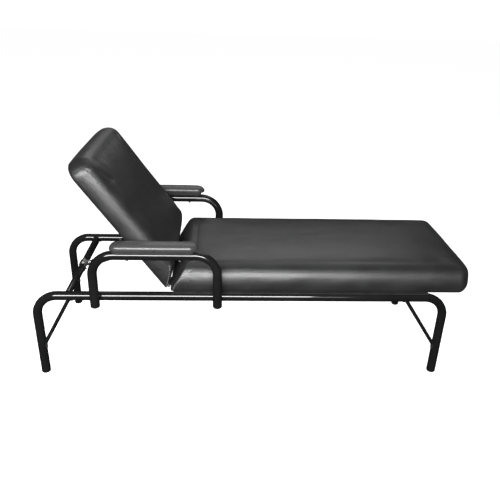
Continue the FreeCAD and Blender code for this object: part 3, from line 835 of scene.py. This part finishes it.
armShape = {
    "cell": 0.006, "crown": 0.001, "insetX": 0.001, "insetY": 0.001, "lift": 0.0,
    "headCorner": 0.030, "footCorner": 0.034, "headLean": 0.0, "footLean": 0.0,
    "headBow": 0.002, "footBow": 0.004,
    "lowSide": (0.008, 0.008), "lowHead": (0.008, 0.008), "lowFoot": (0.008, 0.008),
    "topSide": (0.016, 0.014), "topHead": (0.026, 0.020), "topFoot": (0.026, 0.020),
    "gripHeight": 0.006, "pressure": 4.0, "tension": 15.0, "cap": 0.002,
    "waveScale": 20.0, "wave": 0.0004, "ripple": 0.0002,
}


def cushion(name, shape, low, high, folds=()):
    inset = Vector((shape["insetX"], shape["insetY"], 0))
    mesh = cushionMesh(name, shape, low + inset + Vector((0, 0, shape["lift"])), high - inset)
    inflate(mesh, shape, low.z + shape["lift"])
    mesh = refine(mesh)
    rumple(mesh, shape, low.z)
    gather(mesh, folds)
    return mesh


hinge = Vector(tilt["origin_m"]) if "origin_m" in tilt else Vector(tilt["pos_m"])
raising = Matrix.Translation(hinge) @ Matrix.Rotation(-backLean, 4, "Y") @ Matrix.Translation(-hinge)

boardShape = {
    "thickness": 0.0105,
    "footEdge": 0.040,
    "corner": 0.03,
    "hemWidth": 0.032,
    "hemThickness": 0.0011,
    "hemWander": 0.004,
    "hemReach": 0.008,  # the hem starts this much outside the board's edge
    "hemStep": 0.01,
    "stapleShare": 0.62,  # place of the staples across the hem
    "stapleLift": 0.0002,
}


def roundedOutline(low, high, radii, steps=10):
    # Plan outline, anticlockwise from the corner at low x, low y. radii: head end, foot end.
    head, foot = radii
    spots = []
    for centreX, centreY, radius, start in (
        (low[0] + head, low[1] + head, head, math.pi),
        (high[0] - foot, low[1] + foot, foot, 1.5 * math.pi),
        (high[0] - foot, high[1] - foot, foot, 0.0),
        (low[0] + head, high[1] - head, head, 0.5 * math.pi),
    ):
        for step in range(steps + 1):
            angle = start + math.pi / 2 * step / steps
            reach = Vector((math.cos(angle), math.sin(angle), 0)) * radius
            spots.append(Vector((centreX, centreY, 0)) + reach)
    return spots


def densify(outline, gap):
    spots = []
    for here, after in zip(outline, outline[1:] + outline[:1]):
        parts = max(1, round((after - here).length / gap))
        spots += [here.lerp(after, part / parts) for part in range(parts)]
    return spots


def boardMesh(name, outline, low, high):
    bm = bmesh.new()
    small = 0.0012
    centre = sum(outline, Vector()) / len(outline)
    loops = []
    for z, pull in ((low, small), (low + small, 0), (high - small, 0), (high, small)):
        lift = Vector((0, 0, z))
        loops.append([bm.verts.new(spot + (centre - spot).normalized() * pull + lift) for spot in outline])
    for near, far in zip(loops, loops[1:]):
        for here in range(len(near)):
            after = (here + 1) % len(near)
            bm.faces.new((near[here], near[after], far[after], far[here]))
    bm.faces.new(loops[0])
    bm.faces.new(loops[-1])
    return meshFrom(name, bm)


def hemMesh(name, outer, low, shape):
    # The cover turned under the board: a thin band with an uneven cut edge.
    outer = densify(outer, 0.012)
    inner = []
    for spot, before, after in zip(outer, outer[-1:] + outer[:-1], outer[1:] + outer[:1]):
        run = (after - before).normalized()
        inward = Vector((-run.y, run.x, 0))
        wander = shape["hemWander"] * noise.noise(spot * 14.0)
        inner.append(spot + inward * (shape["hemWidth"] + wander))
    rings = []
    thick = shape["hemThickness"]
    for edge, core in zip(outer, inner):
        lift = 0.0004 * noise.noise(edge * 40.0)
        rings.append([
            edge + Vector((0, 0, low + 0.0012)),
            edge.lerp(core, 0.10) + Vector((0, 0, low - thick * 0.75)),
            edge.lerp(core, 0.5) + Vector((0, 0, low - thick + lift)),
            edge.lerp(core, 0.96) + Vector((0, 0, low - thick * 0.9)),
            core + Vector((0, 0, low - thick * 0.3)),
            core + Vector((0, 0, low + 0.0004)),
        ])
    bm = bmesh.new()
    loops = [[bm.verts.new(spot) for spot in ring] for ring in rings]
    for near, far in zip(loops, loops[1:] + loops[:1]):
        for here in range(len(near)):
            after = (here + 1) % len(near)
            bm.faces.new((near[here], near[after], far[after], far[here]))
    return meshFrom(name, bm)


def stapleTree():
    tree, entry, leave = startTree("stapleRow", {
        "Gap": "Float", "Crown Width": "Float", "Wire": "Float", "Height": "Float", "Seed": "Int",
        "Material": "Material",
    })
    curve = addNode(tree, "GeometryNodeMeshToCurve", {"Mesh": entry.outputs["Geometry"]})
    even = addNode(tree, "GeometryNodeResampleCurve", {
        "Curve": curve.outputs[0], "Length": entry.outputs["Gap"],
    }, mode="LENGTH")
    tangent = tree.nodes.new("GeometryNodeInputTangent")
    turned = addNode(tree, "FunctionNodeAlignRotationToVector", {"Vector": tangent.outputs[0]}, axis="X")
    wobble = addNode(tree, "FunctionNodeRandomValue", {"Seed": entry.outputs["Seed"]}, data_type="FLOAT")
    wobble.inputs[2].default_value, wobble.inputs[3].default_value = -0.22, 0.22
    twist = addNode(tree, "ShaderNodeCombineXYZ", {"Z": wobble.outputs[1]})
    spun = addNode(tree, "FunctionNodeRotateRotation", {
        "Rotation": turned.outputs[0], "Rotate By": twist.outputs[0],
    })
    size = addNode(tree, "ShaderNodeCombineXYZ", {
        "X": entry.outputs["Crown Width"], "Y": entry.outputs["Wire"], "Z": entry.outputs["Height"],
    })
    wire = addNode(tree, "GeometryNodeMeshCube", {"Size": size.outputs[0]})
    laid = addNode(tree, "GeometryNodeInstanceOnPoints", {
        "Points": even.outputs[0], "Instance": wire.outputs["Mesh"], "Rotation": spun.outputs[0],
    })
    closeTree(tree, entry, leave, laid.outputs[0])
    return tree


stapleShape = {"Gap": 0.042, "Crown Width": 0.0105, "Wire": 0.0012, "Height": 0.0007, "Seed": 9}
staples = stapleTree()


def underside(name, low, high, corners, edge, footEdge, boardNode, body, board, turn=None):
    # Board, hem and staples below one cushion; low and high give its plan and the height of the underside.
    inner = roundedOutline(
        (low.x + edge, low.y + edge), (high.x - footEdge, high.y - edge), (boardShape["corner"],) * 2,
    )
    back = boardShape["hemReach"]
    outer = roundedOutline(
        (low.x + edge - back, low.y + edge - back),
        (high.x - footEdge + back, high.y - edge + back),
        corners,
    )
    line = densify(outer, boardShape["hemStep"])
    stapleHeight = low.z - boardShape["hemThickness"] - boardShape["stapleLift"]
    path = []
    for spot, before, after in zip(line, line[-1:] + line[:-1], line[1:] + line[:1]):
        run = (after - before).normalized()
        inwards = Vector((-run.y, run.x, 0)) * boardShape["hemWidth"] * boardShape["stapleShare"]
        path.append(spot + inwards + Vector((0, 0, stapleHeight)))
    meshes = {
        "Board": (
            boardMesh(name + "Board", inner, low.z, low.z + boardShape["thickness"]), board, "plywood",
        ),
        "Hem": (hemMesh(name + "Hem", outer, low.z, boardShape), finishes["couch_vinyl"], "couch_vinyl"),
        "Staples": (
            growMesh(
                name + "Staples", pathMesh(name + "StaplePath", [path], True), staples,
                dict(stapleShape, Material=finishes["zinc"]),
            ), finishes["zinc"], "zinc",
        ),
    }
    for part, (mesh, material, slot) in meshes.items():
        if turn:
            mesh.transform(turn)
        piece = makePiece(name + part, mesh, material, body)
        if part == "Board":
            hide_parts(boardNode)


foldShape = {"reach": 0.085, "depth": 0.0008, "count": 9, "pull": 0.0015}
foldPlace = {"below": 0.034, "inside": 0.006, "phase": 0.6, "farPhase": 1.9, "head": 0.034, "joint": 0.062}


def cornerFolds(x, low, high, inward):
    # The same gathers at both sides of one end, just below the top edge.
    folds = []
    for y in (low.y + foldPlace["inside"], high.y - foldPlace["inside"]):
        folds.append(dict(
            foldShape, centre=(x, y, high.z - foldPlace["below"]), up=(0, 0, 1), side=(inward, 0, 0),
            phase=foldPlace["phase"] + foldPlace["farPhase"] * (y > 0),
        ))
    return folds


def stitchTree():
    tree, entry, leave = startTree("stitchRow", {
        "Gap": "Float", "Reach": "Float", "Thread": "Float", "Slant": "Float", "Seed": "Int",
        "Material": "Material",
    })
    curve = addNode(tree, "GeometryNodeMeshToCurve", {"Mesh": entry.outputs["Geometry"]})
    even = addNode(tree, "GeometryNodeResampleCurve", {
        "Curve": curve.outputs[0], "Length": entry.outputs["Gap"],
    }, mode="LENGTH")
    outward = addNode(tree, "GeometryNodeInputNamedAttribute", {
        "Name": "outward",
    }, data_type="FLOAT_VECTOR")
    tangent = tree.nodes.new("GeometryNodeInputTangent")
    facing = addNode(tree, "FunctionNodeAlignRotationToVector", {"Vector": outward.outputs[0]}, axis="Z")
    turned = addNode(tree, "FunctionNodeAlignRotationToVector", {
        "Rotation": facing.outputs[0], "Vector": tangent.outputs[0],
    }, axis="X", pivot_axis="Z")
    wobble = addNode(tree, "FunctionNodeRandomValue", {"Seed": entry.outputs["Seed"]}, data_type="FLOAT")
    wobble.inputs[2].default_value, wobble.inputs[3].default_value = -0.16, 0.16
    slanted = addNode(tree, "ShaderNodeMath", {
        0: wobble.outputs[1], 1: entry.outputs["Slant"],
    }, operation="ADD")
    twist = addNode(tree, "ShaderNodeCombineXYZ", {"Z": slanted.outputs[0]})
    spun = addNode(tree, "FunctionNodeRotateRotation", {
        "Rotation": turned.outputs[0], "Rotate By": twist.outputs[0],
    }, rotation_space="LOCAL")
    size = addNode(tree, "ShaderNodeCombineXYZ", {
        "X": entry.outputs["Thread"], "Y": entry.outputs["Reach"], "Z": entry.outputs["Thread"],
    })
    bead = addNode(tree, "GeometryNodeMeshUVSphere", {"Segments": 10, "Rings": 8, "Radius": 0.5})
    laid = addNode(tree, "GeometryNodeInstanceOnPoints", {
        "Points": even.outputs[0], "Instance": bead.outputs["Mesh"],
        "Rotation": spun.outputs[0], "Scale": size.outputs[0],
    })
    closeTree(tree, entry, leave, laid.outputs[0])
    return tree


stitchShape = {"Gap": 0.0085, "Reach": 0.0075, "Thread": 0.0017, "Slant": 0.5, "Seed": 4}
stitches = stitchTree()
seamShape = {
    "from": 0.10, "length": 0.66, "parts": 40,  # shares of the cushion's height
    "inside": 0.05, "outside": 0.08, "above": 0.01,  # where the probe toward the corner starts and aims
    "proud": 0.0003,
}


def seamStitches(name, mesh, ends, low, high, body, turn=None):
    # A row of stitches down each upright corner of one end.
    # ends gives the corner's x at the bottom and at the top.
    skin = BVHTree.FromPolygons(
        [vertex.co for vertex in mesh.vertices], [tuple(face.vertices) for face in mesh.polygons],
    )
    inward = 1 if ends[0] < (low.x + high.x) / 2 else -1
    spots, edges, outward = [], [], []
    for y in (low.y, high.y):
        across = math.copysign(1, y)
        first = len(spots)
        for step in range(seamShape["parts"] + 1):
            share = seamShape["from"] + seamShape["length"] * step / seamShape["parts"]
            z = low.z + (high.z - low.z) * share
            x = ends[0] + (ends[1] - ends[0]) * share
            inside, outside = seamShape["inside"], seamShape["outside"]
            aim = Vector((x + inward * inside, y - across * inside, z))
            start = Vector((x - inward * outside, y + across * outside, z + seamShape["above"]))
            place, facing, _, _ = skin.ray_cast(start, (aim - start).normalized())
            if place is not None:
                spots.append(place + facing * seamShape["proud"])
                outward.append(facing)
        edges += [(spot, spot + 1) for spot in range(first, len(spots) - 1)]
    path = bpy.data.meshes.new(name + "Path")
    path.from_pydata(spots, edges, [])
    stored = path.attributes.new("outward", "FLOAT_VECTOR", "POINT")
    for item, facing in zip(stored.data, outward):
        item.vector = facing
    row = growMesh(name, path, stitches, dict(stitchShape, Material=threadPaint))
    if turn:
        row.transform(turn)
    makePiece(name, row, threadPaint, body)


seatLow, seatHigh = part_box("seat_cover")
seatRise = Vector((0.014, 0, 0.011))  # the stuffing stands proud of the plain form
seatMesh = cushion(
    "seatCushion", seatShape, seatLow, seatHigh + seatRise,
    cornerFolds(seatLow.x + foldPlace["joint"], seatLow, seatHigh + seatRise, 1),
)
seamStitches(
    "seatStitches", seatMesh, (seatLow.x, seatLow.x + seatShape["headLean"]), seatLow, seatHigh, "frame",
)
seatPiece = makePiece("seatCushion", seatMesh, finishes["couch_vinyl"], "frame", 80)
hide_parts("seat_cover", "seat_foam")

backFlat = {"low": (-0.979, -0.3025, 0.402), "high": (-0.362, 0.3025, 0.496)}
backLow, backHigh = Vector(backFlat["low"]), Vector(backFlat["high"])
backMesh = cushion(
    "backCushion", backShape, backLow, backHigh,
    cornerFolds(backLow.x + foldPlace["head"], backLow, backHigh, 1)
    + cornerFolds(backHigh.x - foldPlace["joint"], backLow, backHigh, -1),
)
seamStitches(
    "backStitches", backMesh, (backHigh.x, backHigh.x - backShape["footLean"]), backLow, backHigh,
    "backrest", raising,
)
backMesh.transform(raising)
backPiece = makePiece("backCushion", backMesh, finishes["couch_vinyl"], "backrest", 80)
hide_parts("back_cover", "back_foam")

def domeTree():
    tree, entry, leave = startTree("domeHeads", {
        "Radius": "Float", "Flatness": "Float", "Material": "Material",
    })
    dome = addNode(tree, "GeometryNodeMeshUVSphere", {
        "Segments": 28, "Rings": 16, "Radius": entry.outputs["Radius"],
    })
    size = addNode(tree, "ShaderNodeCombineXYZ", {"X": 1.0, "Y": 1.0, "Z": entry.outputs["Flatness"]})
    laid = addNode(tree, "GeometryNodeInstanceOnPoints", {
        "Points": entry.outputs["Geometry"], "Instance": dome.outputs["Mesh"], "Scale": size.outputs[0],
    })
    closeTree(tree, entry, leave, laid.outputs[0])
    return tree


def lowestSpots(node):
    # The middle of the underside of every separate screw in the node.
    cadMesh = frame["nodes"][node].data
    spots = [frame["nodes"][node].matrix_world @ vertex.co for vertex in cadMesh.vertices]
    bottom = min(spot.z for spot in spots)
    groups = []
    for spot in spots:
        near = next((group for group in groups if abs(group[0].x - spot.x) < 0.03), None)
        if near is None:
            groups.append([spot])
        else:
            near.append(spot)
    middles = []
    for group in groups:
        xs, ys = [spot.x for spot in group], [spot.y for spot in group]
        middles.append(Vector(((min(xs) + max(xs)) / 2, (min(ys) + max(ys)) / 2, bottom)))
    return middles


domeShape = {"Radius": 0.0052, "Flatness": 0.62}
domes = domeTree()
padReach = Vector((0.006, 0, 0))  # the stuffing bulges over the foot end of the base
for sideName in sides:
    screwSpots = [[spot] for spot in lowestSpots("arm_pad_screws_" + sideName)]
    screwMesh = growMesh(
        "padScrewDomes_" + sideName, pathMesh("screwSpots", screwSpots, False), domes,
        dict(domeShape, Material=finishes["zinc"]),
    )
    makePiece("padScrewDomes_" + sideName, screwMesh, finishes["zinc"], "frame")
    padLow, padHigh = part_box("arm_pad_cushion_" + sideName)
    padPiece = makePiece(
        "armPad_" + sideName, cushion("armPad_" + sideName, armShape, padLow, padHigh + padReach),
        finishes["arm_vinyl"], "frame", 80,
    )
    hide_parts("arm_pad_cushion_" + sideName)
    padPiece.visible_shadow = False  # lets the light under the overhang reach the tube
    frame["nodes"]["arm_pad_base_" + sideName].visible_shadow = False
print("cushions are stuffed")

underside(
    "seat", seatLow, seatHigh, (0.012, 0.034), 0.024, boardShape["footEdge"],
    "seat_board", "frame", finishes["plywood"],
)
underside(
    "back", backLow + Vector((0.016, 0, 0)), backHigh, (0.046, 0.012), 0.022, 0.014,
    "back_board", "backrest", leaningPlywood, raising,
)
print("boards, hems and staples are on")
